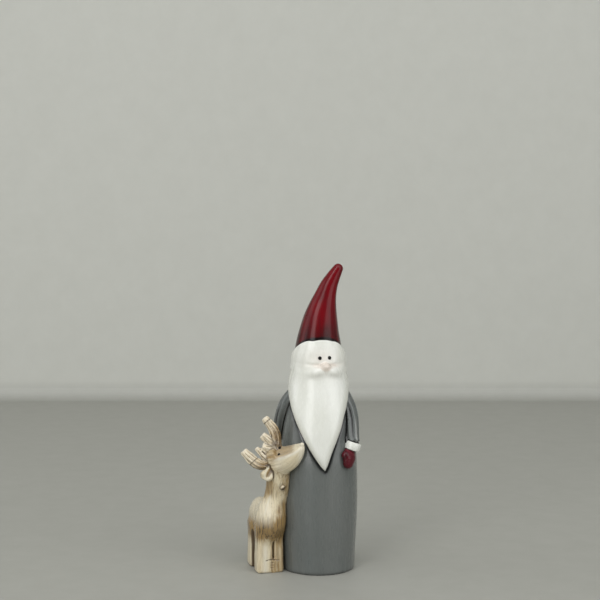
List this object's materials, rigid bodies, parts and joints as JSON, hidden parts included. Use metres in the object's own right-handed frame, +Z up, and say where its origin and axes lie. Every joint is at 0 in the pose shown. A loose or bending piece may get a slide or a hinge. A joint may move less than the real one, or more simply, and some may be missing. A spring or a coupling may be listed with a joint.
{
  "type": "tomte figurine",
  "caption": "Glazed ceramic tomte with a tall curved pointed hat and long pointed beard, a small deer standing against its side looking up.",
  "frame": {"origin": "centre of the tomte's round foot, on the floor, where the drain hole's axis meets it", "axes": "+Z up; the tomte faces -Y, so its left arm is on +X; the deer stands on the -X side"},
  "size_m": [0.0659, 0.0468, 0.1699],
  "materials": {
    "coat_glaze": "glossy mid-grey glaze, slightly mottled, darker where it pools in grooves",
    "hair_glaze": "glossy warm white glaze over soft relief",
    "face_glaze": "glossy pale blush glaze",
    "hat_glaze": "glossy deep red glaze, streaked, nearly black at the rim and along the edges",
    "mitten_glaze": "glossy deep red glaze",
    "eye_glaze": "glossy black glaze",
    "deer_glaze": "glossy cream glaze over a brown wash that lies in carved wood-like grain",
    "antler_glaze": "glossy brown wash with pale cut ends"
  },
  "bodies": {
    "root": {"coat": "coat_glaze", "coat_floor": "coat_glaze", "neck": "coat_glaze", "head": "face_glaze", "hair": "hair_glaze", "beard": "hair_glaze", "left_moustache": "hair_glaze", "right_moustache": "hair_glaze", "nose": "face_glaze", "left_eye": "eye_glaze", "right_eye": "eye_glaze", "hat": "hat_glaze", "left_sleeve": "coat_glaze", "right_sleeve": "coat_glaze", "left_cuff": "hair_glaze", "right_cuff": "hair_glaze", "left_mitten": "mitten_glaze", "right_mitten": "mitten_glaze", "deer_body": "deer_glaze", "deer_neck": "deer_glaze", "deer_head": "deer_glaze", "deer_left_antler": "antler_glaze", "deer_right_antler": "antler_glaze", "deer_left_ear": "deer_glaze", "deer_right_ear": "deer_glaze", "deer_left_eye": "eye_glaze", "deer_right_eye": "eye_glaze", "deer_nose": "deer_glaze", "deer_neck_knot": "deer_glaze", "deer_tail": "deer_glaze", "deer_front_left_leg": "deer_glaze", "deer_front_right_leg": "deer_glaze", "deer_rear_left_leg": "deer_glaze", "deer_rear_right_leg": "deer_glaze"}
  },
  "joints": []
}
